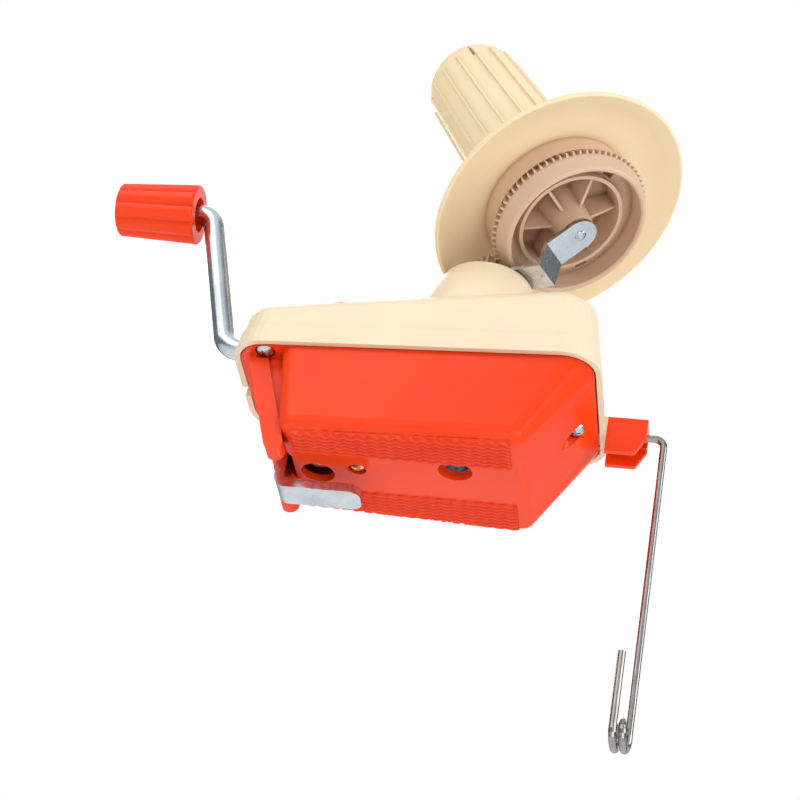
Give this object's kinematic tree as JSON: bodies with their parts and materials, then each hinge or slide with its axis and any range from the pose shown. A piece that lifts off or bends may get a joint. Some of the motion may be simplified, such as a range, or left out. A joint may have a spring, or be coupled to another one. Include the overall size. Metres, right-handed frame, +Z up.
{
  "type": "yarn ball winder",
  "caption": "Hand-cranked yarn ball winder: a tilted, geared winding cone on a plastic body, with a crank, a swinging wire yarn guide and a screw clamp for a table edge.",
  "frame": {"origin": "middle of the table pad, on the pad's face", "axes": "+Z up out of the table, +X towards the yarn guide end, -X towards the crank, +Y away from the viewer"},
  "size_m": [0.2059, 0.0989, 0.2703],
  "materials": {
    "cream_plastic": "satin moulded",
    "ivory_plastic": "satin moulded",
    "red_plastic": "glossy moulded",
    "beige_plastic": "matt moulded",
    "zinc_steel": "zinc plated",
    "stainless": "drawn wire",
    "brass": "passivated"
  },
  "bodies": {
    "root": {"top_casing": "cream_plastic", "bottom_cover": "red_plastic", "cover_screws": "zinc_steel", "pad_screw": "brass", "crank_bush": "beige_plastic", "centre_post": "zinc_steel", "thrust_washer": "brass", "sun_gear": "beige_plastic", "guide_holder": "red_plastic", "guide_bush": "stainless", "holder_screw": "brass", "knob_washer": "zinc_steel"},
    "crank": {"crank_rod": "zinc_steel", "drive_gear": "beige_plastic", "gear_pin": "zinc_steel", "crank_clip": "zinc_steel", "grip_washer": "zinc_steel"},
    "grip": {"crank_grip": "red_plastic"},
    "spindle": {"spindle_sleeve": "zinc_steel", "spindle_pinion": "beige_plastic", "spindle_arm": "zinc_steel", "arm_nut": "zinc_steel", "cone_axle": "zinc_steel", "axle_washer": "zinc_steel", "axle_clip": "zinc_steel"},
    "cone": {"winding_cone": "ivory_plastic", "ring_gear": "beige_plastic"},
    "guide": {"yarn_guide": "stainless", "guide_clip": "zinc_steel"},
    "clamp_bar": {"clamp_bar": "zinc_steel", "clamp_nut": "zinc_steel"},
    "clamp_screw": {"clamp_screw": "zinc_steel", "clamp_knob": "red_plastic", "screw_clip": "zinc_steel"}
  },
  "joints": [
    {"name": "crank_spin", "type": "hinge", "parent": "root", "child": "crank", "pos_m": [0, -0.0073, 0.0412], "axis": [1, 0, 0], "continuous": true},
    {"name": "grip_spin", "type": "hinge", "parent": "crank", "child": "grip", "pos_m": [-0.108, -0.0073, 0.0985], "axis": [1, 0, 0], "continuous": true},
    {"name": "spindle_spin", "type": "hinge", "parent": "root", "child": "spindle", "pos_m": [0.017, -0.0073, 0.05], "axis": [0, 0, 1], "continuous": true},
    {"name": "cone_spin", "type": "hinge", "parent": "spindle", "child": "cone", "pos_m": [0.017, -0.0073, 0.14152], "axis": [-0.5185, 0.2095, 0.829], "continuous": true},
    {"name": "guide_swing", "type": "hinge", "parent": "root", "child": "guide", "pos_m": [0.07, 0.0202, 0.036], "axis": [1, 0, 0], "range_deg": [0, 180]},
    {"name": "clamp_turn", "type": "hinge", "parent": "root", "child": "clamp_screw", "pos_m": [-0.031, 0.0013, 0.05], "axis": [0, 0, 1], "range_deg": [-505, 3313]},
    {"name": "clamp_slide", "type": "slide", "parent": "root", "child": "clamp_bar", "axis": [0, 0, 1], "range_m": [-0.023, 0.0035]}
  ],
  "couplings": [
    {"joint": "spindle_spin", "follows": "crank_spin", "ratio": -2.5},
    {"joint": "cone_spin", "follows": "crank_spin", "ratio": -0.41667},
    {"joint": "clamp_turn", "follows": "clamp_slide", "rad_per_m": -2513.3}
  ]
}
